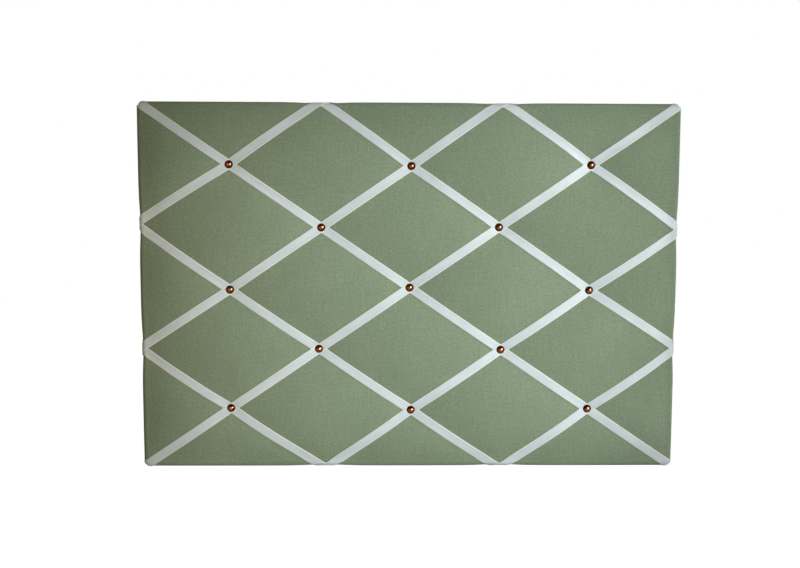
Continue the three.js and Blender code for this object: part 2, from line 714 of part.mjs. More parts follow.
const panelOutline = roundedOutline(PANEL_HALF_WIDTH, PANEL_HALF_HEIGHT, PANEL_CORNER_RADIUS);
const panelBlank = plateGeometry(panelOutline, WALL_FACE, PANEL_THICKNESS);
addPiece('back_panel', cut(panelBlank, [...pinHoles, ...pinRecesses, ...screwHoles]), HARDBOARD);

pinPlans.forEach((plan, k) => {
  const head = {
    diameter: PIN_HEAD_DIAMETER,
    height: PIN_HEAD_HEIGHT,
    rim: PIN_HEAD_HEIGHT / 2,
    steps: PIN_DOME_STEPS,
  };
  const shank = { diameter: PIN_SHANK_DIAMETER, length: PIN_LENGTH, point: PIN_POINT };
  const lathe = new THREE.LatheGeometry(nailProfile(head, shank), WIRE_STEPS);
  const pin = addPiece(`panel_pin_${k + 1}`, lathe, STEEL);
  pin.position.copy(place(plan, PIN_SEAT));
});

// Hangers

const EYE_RADIUS = RING_WIRE_DIAMETER / 2 + FIT_GAP;
const LOOP_RADIUS = EYE_RADIUS + STRAP_THICKNESS;
const LOOP_END = THREE.MathUtils.degToRad(STRAP_LOOP_END_DEGREES);

/** Side view of the strap: one strip folded round the ring's bar, as distance from the panel and height. */
function strapOutline() {
  const inner = STRAP_THICKNESS + STRAP_LAYER_GAP;
  const shape = new THREE.Shape();
  shape.moveTo(0, -STRAP_LENGTH);
  shape.lineTo(0, 0);
  shape.absarc(LOOP_RADIUS, 0, LOOP_RADIUS, Math.PI, LOOP_END, true);
  shape.lineTo(STRAP_STACK, -STRAP_NECK);
  shape.lineTo(STRAP_STACK, -STRAP_LENGTH);
  shape.lineTo(inner, -STRAP_LENGTH);
  shape.lineTo(inner, STRAP_THICKNESS / 2 - STRAP_NECK);
  shape.absarc(LOOP_RADIUS, 0, EYE_RADIUS, LOOP_END, Math.PI, false);
  shape.lineTo(STRAP_THICKNESS, -STRAP_LENGTH);
  return shape;
}

/** Front view of the strap, with a round tail. */
function strapPlan() {
  const half = STRAP_WIDTH / 2;
  const shape = new THREE.Shape();
  shape.moveTo(half, 2 * LOOP_RADIUS);
  shape.lineTo(-half, 2 * LOOP_RADIUS);
  shape.absarc(0, half - STRAP_LENGTH, half, Math.PI, 2 * Math.PI);
  return shape;
}

function strapGeometry(hanger) {
  const side = new THREE.ExtrudeGeometry(
    strapOutline(), { depth: STRAP_WIDTH, bevelEnabled: false, curveSegments: WIRE_STEPS });
  const turn = new THREE.Matrix4().makeBasis(
    new THREE.Vector3(0, 1, 0), new THREE.Vector3(0, 0, 1), new THREE.Vector3(1, 0, 0));
  side.applyMatrix4(turn).translate(hanger.x - STRAP_WIDTH / 2, 0, hanger.y);
  const past = LOOP_RADIUS;
  const loop = 2 * LOOP_RADIUS;
  const plan = new THREE.ExtrudeGeometry(
    strapPlan(), { depth: past + loop + past, bevelEnabled: false, curveSegments: WIRE_STEPS });
  plan.rotateX(Math.PI / 2).translate(hanger.x, loop + past, hanger.y);
  const round = solidOf(side).intersect(solidOf(plan));
  return cut(geometryOf(round), screwHoles);
}

/** A closed round wire bent to a D whose straight bar lies along X through the origin. */
function ringGeometry() {
  const half = RING_WIDTH / 2;
  const arc = (x, z, radius, start, turn, steps) => Array.from({ length: steps + 1 }, (_, k) => {
    const angle = start + turn * k / steps;
    return flat(x + radius * Math.cos(angle), z + radius * Math.sin(angle));
  });
  const corner = (side, start) => arc(
    side * (half - RING_CORNER_RADIUS), RING_CORNER_RADIUS, RING_CORNER_RADIUS,
    start, Math.PI / 2, CORNER_STEPS);
  const points = [
    ...corner(1, -Math.PI / 2),
    ...arc(0, RING_HEIGHT - half, half, 0, Math.PI, ROUND_STEPS),
    ...corner(-1, Math.PI),
  ];
  const loops = points.map((point, k) => {
    const before = points[(k + points.length - 1) % points.length];
    const after = points[(k + 1) % points.length];
    const ahead = after.clone().sub(point).normalize().add(point.clone().sub(before).normalize()).normalize();
    return Array.from({ length: WIRE_STEPS }, (_, n) => {
      const angle = 2 * Math.PI * n / WIRE_STEPS;
      const sideways = Math.cos(angle) * RING_WIRE_DIAMETER / 2;
      const deep = Math.sin(angle) * RING_WIRE_DIAMETER / 2;
      return new THREE.Vector3(point.x + sideways * ahead.y, deep, point.y - sideways * ahead.x);
    });
  });
  const triangles = loops.flatMap((loop, k) => loop.flatMap((vertex, n) => {
    const nextLoop = loops[(k + 1) % loops.length];
    const next = (n + 1) % loop.length;
    return quad(vertex, loop[next], nextLoop[next], nextLoop[n]);
  }));
  return geometryOfTriangles(triangles);
}

function screwGeometry() {
  const head = {
    diameter: SCREW_HEAD_DIAMETER,
    height: SCREW_HEAD_HEIGHT,
    rim: SCREW_HEAD_HEIGHT / 2,
    steps: SCREW_DOME_STEPS,
  };
  const shank = { diameter: SCREW_SHANK_DIAMETER, length: SCREW_LENGTH, point: SCREW_POINT };
  const blank = new THREE.LatheGeometry(nailProfile(head, shank), ROUND_STEPS);
  const arms = [[RECESS_SPAN, RECESS_WIDTH], [RECESS_WIDTH, RECESS_SPAN]].map(([width, depth]) => (
    new THREE.BoxGeometry(width, 2 * RECESS_DEPTH, depth).translate(0, SCREW_HEAD_HEIGHT, 0)));
  return cut(blank, arms);
}

Object.entries(hangerPlans).forEach(([side, hanger]) => {
  addPiece(`${side}_hanger_strap`, strapGeometry(hanger), STEEL);
  const ring = addPiece(`${side}_hanging_ring`, ringGeometry(), STEEL);
  ring.position.copy(place(hanger, WALL_FACE - LOOP_RADIUS));
  const screw = addPiece(`${side}_hanger_screw`, screwGeometry(), STEEL);
  screw.position.copy(place(screwPlan(hanger), WALL_FACE - STRAP_STACK));
});

export default board;
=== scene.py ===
import math

import bmesh
import bpy
import numpy as np
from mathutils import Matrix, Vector


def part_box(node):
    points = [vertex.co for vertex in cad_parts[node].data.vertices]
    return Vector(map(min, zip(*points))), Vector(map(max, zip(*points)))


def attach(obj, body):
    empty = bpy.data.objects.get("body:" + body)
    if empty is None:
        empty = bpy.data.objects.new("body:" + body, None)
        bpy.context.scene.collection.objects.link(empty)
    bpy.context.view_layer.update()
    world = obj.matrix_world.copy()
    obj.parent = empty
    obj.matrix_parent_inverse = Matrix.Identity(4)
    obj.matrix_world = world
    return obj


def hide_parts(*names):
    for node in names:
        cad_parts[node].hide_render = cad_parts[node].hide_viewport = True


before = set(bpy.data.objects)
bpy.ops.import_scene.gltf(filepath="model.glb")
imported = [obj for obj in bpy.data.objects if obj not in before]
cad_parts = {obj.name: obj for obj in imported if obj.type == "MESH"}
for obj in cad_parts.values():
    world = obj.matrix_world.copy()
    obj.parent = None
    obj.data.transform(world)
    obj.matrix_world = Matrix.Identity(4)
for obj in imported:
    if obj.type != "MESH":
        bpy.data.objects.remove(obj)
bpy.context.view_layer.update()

MM = 0.001
SIDES = {"left": -1, "right": 1}

# Covered board, in millimetres; levels are measured forward from the core's front face
HALF = np.array([306.4, 208.4])
WALL_FACE = -14.7
CORNER_RADIUS = 7.9
COVER_ROLL = 7.0
COVER_SHOULDER = 1.0
COVER_THICKNESS = 0.8
COVER_BACK = -10.1
COVER_TURN_UNDER = 40.0
HEM_WIDTH = 6.0
HEM_RISE = 1.2
CORE_BACK = -9.0
FIT_GAP = 0.3
WADDING_SIDE = 5.0
PAD_GAP = 0.15
FACE_HALF = HALF - COVER_ROLL

# Wadding, pressed thin by the ribbons, more so by the nails, and towards the edge,
# which the pairs of ribbons dent
WADDING_CROWN = 10.8
WADDING_UNDER_RIBBON = 8.6
WADDING_AT_EDGE = 5.6
RIBBON_PRESS_REACH = 19.4
NAIL_PRESS_REACH = 49.0
EDGE_PRESS_REACH = 19.0
EDGE_DENT = 1.5
EDGE_DENT_REACH = 24.0
OVER_WADDING = 2 * FIT_GAP + COVER_THICKNESS

# Ribbons; the drift is how far each pair's meeting point was laid off its even share of the edge,
# and the pull is how far off that point the pair's middle lines cross
TOP_DRIFT = (0, 4)
BOTTOM_DRIFT = (5, 0)
SIDE_DRIFT = (-3, -3)
TOP_PULL = ((2.1, 1.2), (-2.1, 1.1))
BOTTOM_PULL = ((0.7, -1.2), (2.3, -1.6))
LEFT_PULL = ((-0.4, 2.7), (-3.1, 5.1))
RIGHT_PULL = ((1.3, 3.4), (2.5, -0.3))
RIBBON_LANES = np.array([-5, -4.85, -4.4, -3.2, -1.6, 0, 1.6, 3.2, 4.4, 4.85, 5])
LANE_THICKNESS = np.array([0.2, 0.42, 0.52, 0.46, 0.44, 0.44, 0.44, 0.46, 0.52, 0.42, 0.2])
RIBBON_LIFT = 0.2
RIBBON_RAISE = 0.56
RAISE_FLAT = 8.0
RAISE_RAMP = 9.0
RIBBON_TAIL = 30.0
RIBBONS_UNDER_NAIL = 1.35
NAIL_CATCH = 4.0
SELVEDGE_START, SELVEDGE_FULL = 4.15, 4.4

# Nails, pins and screws: head diameter and height, rim, shank diameter, length and point
NAIL = dict(head=10.0, height=3.6, rim=0.6, shank=1.6, length=12.0, point=2.5)
PIN = dict(head=3.2, height=0.8, rim=0.4, shank=1.2, length=10.0, point=1.5)
SCREW = dict(head=6.4, height=2.0, rim=1.0, shank=3.0, length=12.0, point=2.5)
HEAD_SOFT_EDGE = 0.12
RECESS_SPAN, RECESS_WIDTH, RECESS_DEPTH = 3.6, 0.8, 1.0
RECESS_FOOT, RECESS_MOUTH, RECESS_CLEAR = 0.7, 1.3, 1.0
PANEL_SOFT_EDGE = 0.35
STRAP_SOFT_EDGE = 0.15

# D-rings
RING_WIRE = 2.5
RING_WIDTH = 20.0
RING_HEIGHT = 18.0
RING_CORNER = 3.0
RING_X = 150.0
RING_AXIS = (2.45, 134.4)

# Pitch of the threads in the cloth and in the ribbons' selvedges
THREAD_PITCH = 0.62
PICK_PITCH = 0.45

# Fineness; a lane is drawn past the ends of its ribbon by the overrun and cut to length
GRID_STEP = 3.2
ROLL_STEPS = 9
SIDE_STEPS = 3
UNDER_STEPS = 3
BACK_STEPS = 7
HEM_TURN_STEPS = 6
HEM_STEPS = 2
CORNER_STEPS = 10
RIBBON_STEP = 2.0
LANE_STEP = 0.25
LANE_OVERRUN = 130.0
CORNER_OVERRUN = 2.0
CORNER_SIDE_POINTS = 20
CORNER_UNDER_STEPS = 6
CORNER_TAIL_STEPS = 39
ROLL_REACH = 24.0
ROLL_ROWS = 30
TAIL_ROWS = 36
ROUND_STEPS = 48
DOME_STEPS = 14
RING_CORNER_STEPS = 8
RING_BOW_STEPS = 40
WIRE_SIDES = 20

# Cloth simulation: its length, the most it may move the cloth, the steps of its weights, and by
# ribbons, nails and edge the distance at which the cloth comes loose and how far that takes
SETTLE_FRAMES = 20
SETTLE_CAP = 2.0
HELD_STEPS = 20
LOOSE_BY_RIBBON = (4.0, 10.0)
LOOSE_BY_NAIL = (5.0, 12.0)
LOOSE_BY_EDGE = (0.0, 6.0)

# Stage, in metres
FLOOR_LEVEL = -0.42
FLOOR_REACH = 4.0


def place(plan, out):
    """Points in millimetres from plan places and levels."""
    plan = np.asarray(plan, float)
    return np.column_stack([plan[:, 0], WALL_FACE - np.broadcast_to(out, len(plan)), plan[:, 1]])


def even_steps(count):
    """Even steps from 0 to 1, without the 0."""
    return np.linspace(0, 1, count + 1)[1:]


def add_mesh(name, points, faces, smooth=True):
    """A new object from points in millimetres."""
    mesh = bpy.data.meshes.new(name)
    mesh.from_pydata((np.asarray(points, float) * MM).tolist(), [], [list(f) for f in faces])
    mesh.polygons.foreach_set("use_smooth", [smooth] * len(mesh.polygons))
    mesh.update()
    obj = bpy.data.objects.new(name, mesh)
    bpy.context.scene.collection.objects.link(obj)
    return obj


def add_coordinates(obj, name, values):
    """A vector for each point that the material's pattern follows, in millimetres."""
    attribute = obj.data.attributes.new(name, "FLOAT_VECTOR", "POINT")
    padded = np.zeros((len(values), 3), np.float32)
    padded[:, :2] = values
    attribute.data.foreach_set("vector", padded.ravel())


def turn_out(obj):
    """Turn every face of a closed piece outward."""
    made = bmesh.new()
    made.from_mesh(obj.data)
    bmesh.ops.recalc_face_normals(made, faces=made.faces)
    made.to_mesh(obj.data)
    made.free()
    return obj


# Lattice of ribbons


def meeting(half, drift, k):
    """Where a pair of ribbons meets along an edge."""
    return -half + 2 * half * (k + 1) / (len(drift) + 1) + drift[k]


def on_top(k):
    return (meeting(HALF[0], TOP_DRIFT, k), HALF[1]), (0, 1), TOP_PULL[k]


def on_bottom(k):
    return (meeting(HALF[0], BOTTOM_DRIFT, k), -HALF[1]), (0, -1), BOTTOM_PULL[k]


def on_left(k):
    return (-HALF[0], meeting(HALF[1], SIDE_DRIFT, k)), (-1, 0), LEFT_PULL[k]


def on_right(k):
    return (HALF[0], meeting(HALF[1], SIDE_DRIFT, k)), (1, 0), RIGHT_PULL[k]


def on_corner(side, end):
    return (side * HALF[0], end * HALF[1]), None, (0, 0)


class Ribbon:
    """A ribbon's line over the face, from end to end, by the distance along its heading."""

    def __init__(self, name, ends, upper):
        self.name = name
        self.upper = upper
        self.outward = [None if way is None else np.array(way, float) for _, way, _ in ends]
        self.pulls = [np.array(pull, float) for _, _, pull in ends]
        self.start = np.array(ends[0][0], float)
        span = np.array(ends[1][0], float) - self.start
        self.length = float(np.hypot(*span))
        self.heading = span / self.length
        self.across = np.array([-self.heading[1], self.heading[0]])
        self.knots = np.array([(0, 0), (self.length, 0)], float)
        self.crossings = []

    def tie(self, nails):
        """Hold the ribbon at its nails, and lead its ends to where each pair crosses past the edge."""
        turned = np.column_stack([self.heading, self.across])
        caught = [nail.plan for nail in nails if self.distance(nail.plan) < NAIL_CATCH]
        held = sorted(tuple((plan - self.start) @ turned) for plan in caught)
        self.crossings = [t for t, _ in held]
        ends = []
        outer = (held[0], held[-1])
        for t, way, pull, (near, _) in zip((0, self.length), self.outward, self.pulls, outer):
            end = np.array([t, 0]) + pull @ turned
            ends.append([end, end + (end - (near, 0)) * LANE_OVERRUN / abs(end[0] - near)])
            if way is not None:
                self.crossings.append(end[0])
        self.knots = np.array([ends[0][1], ends[0][0], *held, ends[1][0], ends[1][1]])

    def sway(self, t):
        return np.interp(t, *self.knots.T)

    def distance(self, plan):
        offset = plan - self.start
        return np.abs(offset @ self.across - self.sway(offset @ self.heading))

    def plan(self, t, lane):
        return self.start + np.outer(lane + self.sway(t), self.across) + np.outer(t, self.heading)


FALLING = [
    Ribbon(f"falling_{k + 1}", ends, False)
    for k, ends in enumerate([
        (on_left(0), on_bottom(0)),
        (on_left(1), on_bottom(1)),
        (on_corner(-1, 1), on_corner(1, -1)),
        (on_top(0), on_right(0)),
        (on_top(1), on_right(1)),
    ])
]
RISING = [
    Ribbon(f"rising_{k + 1}", ends, True)
    for k, ends in enumerate([
        (on_left(1), on_top(0)),
        (on_left(0), on_top(1)),
        (on_corner(-1, -1), on_corner(1, 1)),
        (on_bottom(0), on_right(1)),
        (on_bottom(1), on_right(0)),
    ])
]
RIBBONS = FALLING + RISING


class Nail:
    """A nail's place and the level that its head sits at, from the solid."""

    def __init__(self, node):
        low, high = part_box(node)
        self.node = node
        self.plan = np.array([low.x + high.x, low.z + high.z]) / 2 / MM
        self.seat = WALL_FACE - low.y / MM - NAIL["height"]

    def distance(self, plan):
        return np.hypot(*(plan - self.plan).T)


NAILS = [Nail(f"nail_{k}") for k in range(1, 14)]
for ribbon in RIBBONS:
    ribbon.tie(NAILS)

# Padded form


def from_ribbons(plan):
    return np.min([ribbon.distance(plan) for ribbon in RIBBONS], axis=0)


def from_nails(plan):
    return np.min([nail.distance(plan) for nail in NAILS], axis=0)


def from_edge(plan):
    return np.min(FACE_HALF - np.abs(plan), axis=1)


def press(ratio, distance, reach):
    return 1 + (ratio - 1) * np.exp(-((distance / reach) ** 2))


def dimple(ratio, distance, reach):
    """A cone round a nail that flattens out at its reach."""
    return 1 + (ratio - 1) * np.clip(1 - distance / reach, 0, 1) ** 2


def pressed_level(plan):
    """Level of the cover's face: crowned, and pressed under ribbons, at nails and at the edge."""
    under_ribbon = WADDING_UNDER_RIBBON / WADDING_CROWN
    at_edge = WADDING_AT_EDGE / WADDING_CROWN
    wadding = WADDING_CROWN * press(under_ribbon, from_ribbons(plan), RIBBON_PRESS_REACH)
    wadding *= press(at_edge, from_edge(plan), EDGE_PRESS_REACH)
    for nail in NAILS:
        under_nail = nail.seat - RIBBONS_UNDER_NAIL - OVER_WADDING
        wadding *= dimple(under_nail / WADDING_UNDER_RIBBON, nail.distance(plan), NAIL_PRESS_REACH)
    return OVER_WADDING + wadding


CELLS = np.round(2 * FACE_HALF / GRID_STEP).astype(int)
SHARES = [np.linspace(-1, 1, n + 1) for n in CELLS]
GRID_SHARE = np.stack(np.meshgrid(*SHARES, indexing="ij"), axis=-1).reshape(-1, 2)
GRID_PLAN = GRID_SHARE * FACE_HALF


def grid_index(i, j):
    return i * (CELLS[1] + 1) + j


GRID_FACES = [
    (grid_index(i, j), grid_index(i + 1, j), grid_index(i + 1, j + 1), grid_index(i, j + 1))
    for i in range(CELLS[0])
    for j in range(CELLS[1])
]


def loosened(distance, start, ramp):
    return np.clip((distance - start) / ramp, 0, 1)


def hold(sheet):
    """Weights that hold the cloth along the ribbons, at the nails and round the edge."""
    loose = loosened(from_ribbons(GRID_PLAN), *LOOSE_BY_RIBBON)
    loose = loose * loosened(from_nails(GRID_PLAN), *LOOSE_BY_NAIL)
    loose = loose * loosened(from_edge(GRID_PLAN), *LOOSE_BY_EDGE)
    held = np.round((1 - loose) * HELD_STEPS).astype(int)
    group = sheet.vertex_groups.new(name="held")
    for step in range(1, HELD_STEPS + 1):
        group.add(np.flatnonzero(held == step).tolist(), step / HELD_STEPS, "REPLACE")
    return group.name


def settle(levels):
    """Levels after the cloth has swelled a little between the ribbons, by a cloth simulation."""
    sheet = add_mesh("settling_sheet", place(GRID_PLAN, levels), GRID_FACES)
    cloth = sheet.modifiers.new("cloth", "CLOTH")
    settings = cloth.settings
    settings.quality = 6
    settings.mass = 0.02
    settings.tension_stiffness = 12
    settings.compression_stiffness = 12
    settings.shear_stiffness = 6
    settings.bending_stiffness = 0.3
    settings.vertex_group_mass = hold(sheet)
    settings.use_pressure = True
    settings.uniform_pressure_force = 115
    settings.effector_weights.gravity = 0
    cloth.collision_settings.use_collision = False
    cloth.point_cache.frame_start = 1
    cloth.point_cache.frame_end = SETTLE_FRAMES
    scene = bpy.context.scene
    for step in range(1, SETTLE_FRAMES + 1):
        scene.frame_set(step)
    shaped = sheet.evaluated_get(bpy.context.evaluated_depsgraph_get()).data
    moved = np.zeros(len(shaped.vertices) * 3)
    shaped.vertices.foreach_get("co", moved)
    swollen = WALL_FACE - moved.reshape(-1, 3)[:, 1] / MM
    scene.frame_set(1)
    bpy.data.objects.remove(sheet)
    return levels + np.clip(swollen - levels, -SETTLE_CAP, SETTLE_CAP)


class Field:
    """Levels on the grid, read between its nodes."""

    def __init__(self, levels):
        self.levels = levels.reshape(CELLS + 1)

    def at(self, plan):
        spot = np.clip((plan / FACE_HALF + 1) / 2, 0, 1) * CELLS
        low = np.minimum(spot.astype(int), CELLS - 1)
        (a, b), (i, j) = (spot - low).T, low.T
        level = self.levels
        near = level[i, j] * (1 - a) + level[i + 1, j] * a
        far = level[i, j + 1] * (1 - a) + level[i + 1, j + 1] * a
        return near * (1 - b) + far * b


levels = pressed_level(GRID_PLAN)
levels = settle(levels)
FIELD = Field(levels)

# Profile of the cover's outside across its edge, by the distance run from where the roll starts

EDGE_LEVEL = OVER_WADDING + WADDING_AT_EDGE
ROLL_RUN = math.pi / 2 * math.sqrt((COVER_ROLL**2 + (EDGE_LEVEL + COVER_SHOULDER) ** 2) / 2)
SIDE_RUN = -COVER_SHOULDER - COVER_BACK - COVER_THICKNESS
UNDER_RUN = math.pi / 2 * COVER_THICKNESS
BACK_START = ROLL_RUN + SIDE_RUN + UNDER_RUN


def edge_profile(run, height):
    """Distance past the outline, level and outward direction, by the distance run."""
    turn = np.clip(run / ROLL_RUN, 0, 1) * math.pi / 2
    fold = np.clip((run - ROLL_RUN - SIDE_RUN) / UNDER_RUN, 0, 1) * math.pi / 2
    rise = height + COVER_SHOULDER
    past = COVER_ROLL * (np.sin(turn) - 1) - COVER_THICKNESS * (1 - np.cos(fold))
    past = past - np.maximum(run - BACK_START, 0)
    level = rise * np.cos(turn) - COVER_SHOULDER - np.clip(run - ROLL_RUN, 0, SIDE_RUN)
    level = level - COVER_THICKNESS * np.sin(fold)
    lean = np.stack([np.sin(turn) / COVER_ROLL, np.cos(turn) / rise])
    lean = lean / np.hypot(*lean)
    bend = np.stack([np.cos(fold), -np.sin(fold)])
    normal = np.where(run > ROLL_RUN, bend, lean)
    return past, level, normal


MEETINGS = [
    (np.add(spot, pull), way)
    for k in range(2)
    for spot, way, pull in (on_top(k), on_bottom(k), on_left(k), on_right(k))
]


def edge_dent(plan, way):
    """How deep the pairs of ribbons draw in an edge, by places along it."""
    along = [(plan - spot) @ way[::-1] for spot, out in MEETINGS if np.allclose(way, out)]
    return EDGE_DENT * np.sum([np.exp(-((apart / EDGE_DENT_REACH) ** 2)) for apart in along], axis=0)


def dent_share(run):
    return np.sin(np.clip(run / ROLL_RUN, 0, 1) * math.pi / 2)


# Cover and wadding


def rim_nodes():
    """Nodes round the board, counterclockwise: grid place, and angle at a rounded corner."""
    nodes = []
    corners = [(0, 0), (1, 0), (1, 1), (0, 1)]
    for k, corner in enumerate(corners):
        following = corners[(k + 1) % 4]
        place_now = np.array(corner) * CELLS
        place_next = np.array(following) * CELLS
        for step in range(CORNER_STEPS + 1):
            nodes.append((place_now, math.pi * (1 + k / 2 + step / 2 / CORNER_STEPS)))
        count = int(np.abs(place_next - place_now).max())
        for n in range(1, count):
            nodes.append((place_now + (place_next - place_now) * n // count, None))
    return nodes


RIM = rim_nodes()
RIM_GRID = np.array([grid_index(*spot) for spot, _ in RIM])
RIM_SHARE = GRID_SHARE[RIM_GRID]
RIM_ON_EDGE = np.isclose(np.abs(RIM_SHARE), 1)
RIM_ROUND = np.array([turn is not None for _, turn in RIM])
RIM_WAY = np.array([
    np.where(on_edge, share, 0) if turn is None else (math.cos(turn), math.sin(turn))
    for (_, turn), share, on_edge in zip(RIM, RIM_SHARE, RIM_ON_EDGE)
])
RIM_DENT = np.array([
    0 if rounded else edge_dent(share * FACE_HALF, way)
    for rounded, share, way in zip(RIM_ROUND, RIM_SHARE, RIM_WAY)
])


def rim_plan(inset):
    """Plan places of the rim's nodes at an inset; over the roll they do not move along the edge."""
    plan = RIM_SHARE * np.where(RIM_ON_EDGE, HALF - inset, HALF - max(inset, COVER_ROLL))
    if inset < CORNER_RADIUS:
        centre = RIM_SHARE * (HALF - CORNER_RADIUS)
        plan = np.where(RIM_ROUND[:, None], centre + RIM_WAY * (CORNER_RADIUS - inset), plan)
    return plan


def dented_rim(inset, run):
    return rim_plan(inset) - RIM_WAY * (RIM_DENT * dent_share(run))[:, None]


def ring_faces(loop, following):
    made = []
    for k in range(len(loop)):
        n = (k + 1) % len(loop)
        corners = list(dict.fromkeys([loop[k], following[k], following[n], loop[n]]))
        if len(corners) > 2:
            made.append(corners)
    return made


def skin(front, rings, back=None):
    """Points and faces of a front sheet, the rings round its edge, and a back sheet if any."""
    points = [front]
    faces = list(GRID_FACES)
    loop = RIM_GRID
    total = len(front)
    for ring in rings:
        points.append(ring)
        following = total + np.arange(len(ring))
        total += len(ring)
        faces += ring_faces(loop, following)
        loop = following
    if back is not None:
        points.append(back)
        faces += [[total + k for k in reversed(face)] for face in GRID_FACES]
        faces += ring_faces(loop, total + RIM_GRID)
    return np.vstack(points), faces


def weld(obj):
    """Join points that lie on each other, as at the corners, and drop faces folded to nothing."""
    made = bmesh.new()
    made.from_mesh(obj.data)
    bmesh.ops.remove_doubles(made, verts=made.verts, dist=1e-6)
    bmesh.ops.dissolve_degenerate(made, edges=made.edges, dist=1e-7)
    made.to_mesh(obj.data)
    made.free()


def hem_rings(run):
    """Rings of the hem, folded back between cover and panel, each with the distance run to it."""
    rings = []
    for turn in math.pi * even_steps(HEM_TURN_STEPS):
        run += math.pi / 2 * HEM_RISE / HEM_TURN_STEPS
        inset = COVER_TURN_UNDER + HEM_RISE / 2 * math.sin(turn)
        level = COVER_BACK - HEM_RISE / 2 * (1 - math.cos(turn))
        rings.append((run, place(rim_plan(inset), level)))
    for back in HEM_WIDTH * even_steps(HEM_STEPS):
        rings.append((run + back, place(rim_plan(inset - back), level)))
    return rings


def make_cover():
    rim_level = FIELD.levels.ravel()[RIM_GRID]
    runs = np.concatenate([
        ROLL_RUN * even_steps(ROLL_STEPS),
        ROLL_RUN + SIDE_RUN * even_steps(SIDE_STEPS),
        ROLL_RUN + SIDE_RUN + UNDER_RUN * even_steps(UNDER_STEPS),
        BACK_START + (COVER_TURN_UNDER - COVER_THICKNESS) * even_steps(BACK_STEPS),
    ])
    rings = []
    for run in runs:
        past, level, _ = edge_profile(np.full(len(RIM), run), rim_level)
        rings.append((run, place(dented_rim(-past[0], run), level)))
    rings += hem_rings(runs[-1])
    front = place(GRID_PLAN, FIELD.levels.ravel())
    points, faces = skin(front, [ring for _, ring in rings])
    cover = add_mesh("cover_cloth", points, faces)
    spread = [GRID_PLAN] + [RIM_SHARE * FACE_HALF + RIM_WAY * run for run, _ in rings]
    add_coordinates(cover, "weave", np.vstack(spread))
    weld(cover)
    thick = cover.modifiers.new("thickness", "SOLIDIFY")
    thick.thickness = COVER_THICKNESS * MM
    thick.offset = -1
    return cover


def make_wadding():
    depth = COVER_THICKNESS + PAD_GAP
    rim_level = FIELD.levels.ravel()[RIM_GRID]
    rings = []
    for run in ROLL_RUN * even_steps(ROLL_STEPS):
        past, level, normal = edge_profile(np.full(len(RIM), run), rim_level)
        inset = depth * normal[0][0] - past[0]
        rings.append(place(dented_rim(inset, run), level - depth * normal[1]))
    rings.append(place(dented_rim(depth, ROLL_RUN), CORE_BACK))
    inner = WADDING_SIDE + COVER_THICKNESS + FIT_GAP
    for level in (CORE_BACK, FIT_GAP):
        rings.append(place(rim_plan(inner), level))
    front = place(GRID_PLAN, FIELD.levels.ravel() - depth)
    back = place(GRID_SHARE * (HALF - CORNER_RADIUS), FIT_GAP)
    points, faces = skin(front, rings, back)
    wadding = add_mesh("wadding_pad", points, faces)
    weld(wadding)
    return wadding


# Ribbons


def raise_over(ribbon, t):
    """How far a ribbon stands off the cloth along it; an upper one is lifted over the lower ones."""
    lift = np.full(len(t), RIBBON_LIFT)
    if ribbon.upper:
        for crossing in ribbon.crossings:
            share = np.clip((RAISE_FLAT + RAISE_RAMP - np.abs(t - crossing)) / RAISE_RAMP, 0, 1)
            lift = np.maximum(lift, RIBBON_LIFT + RIBBON_RAISE * share * share * (3 - 2 * share))
    return lift


def edge_lane(ribbon, lane):
    """A lane of a ribbon whose ends turn over straight edges, from tail to tail.

    Also gives the places in it where the roll ends at each side.
    """
    t = np.arange(-LANE_OVERRUN, ribbon.length + LANE_OVERRUN, LANE_STEP)
    plan = ribbon.plan(t, lane)
    runs = np.stack([plan @ way - abs(HALF @ way) + COVER_ROLL for way in ribbon.outward])
    kept = runs.max(axis=0) < BACK_START + RIBBON_TAIL
    t, plan, runs = t[kept], plan[kept], runs[:, kept]
    lift = raise_over(ribbon, t)
    points = place(plan, FIELD.at(plan) + lift)
    for way, run in zip(ribbon.outward, runs):
        wrapped = run > 0
        foot = plan - np.outer(run, way)
        past, level, normal = edge_profile(run, FIELD.at(foot))
        dent = edge_dent(foot, way) * dent_share(run)
        over = foot + np.outer(COVER_ROLL + past + lift * normal[0] - dent, way)
        points[wrapped] = place(over, level + lift * normal[1])[wrapped]
    on_front = np.flatnonzero(runs.max(axis=0) < ROLL_RUN)
    return points, on_front[0], on_front[-1]


def outline_inset(plan):
    """Distance inside the rounded outline, and the way out of it."""
    over = np.maximum(np.abs(plan) - (HALF - CORNER_RADIUS), 0)
    rounded = (over > 0).all(axis=1)
    inner = HALF - np.abs(plan)
    nearest = np.eye(2)[np.argmin(inner, axis=1)]
    reach = np.maximum(np.hypot(*over.T), 1e-9)
    inset = np.where(rounded, CORNER_RADIUS - reach, inner.min(axis=1))
    return inset, np.where(rounded[:, None], over / reach[:, None], nearest) * np.sign(plan)


def corner_tail(edge, way, inward):
    """The rest of a lane from the outline: down the board's side, under it and along its back."""
    down = np.linspace(0, 1, CORNER_SIDE_POINTS)
    turn = math.pi / 2 * even_steps(CORNER_UNDER_STEPS)
    tail = even_steps(CORNER_TAIL_STEPS)
    out = np.concatenate([
        np.full(len(down), RIBBON_LIFT),
        RIBBON_LIFT * np.cos(turn) - COVER_THICKNESS * (1 - np.cos(turn)),
        np.full(len(tail), -COVER_THICKNESS),
    ])
    level = np.concatenate([
        -COVER_SHOULDER - SIDE_RUN * down,
        COVER_BACK + COVER_THICKNESS - (COVER_THICKNESS + RIBBON_LIFT) * np.sin(turn),
        np.full(len(tail), COVER_BACK - RIBBON_LIFT),
    ])
    ahead = np.concatenate([np.zeros(len(down) + len(turn)), RIBBON_TAIL * tail])
    return place(edge + np.outer(out, way) + np.outer(ahead, inward), level)


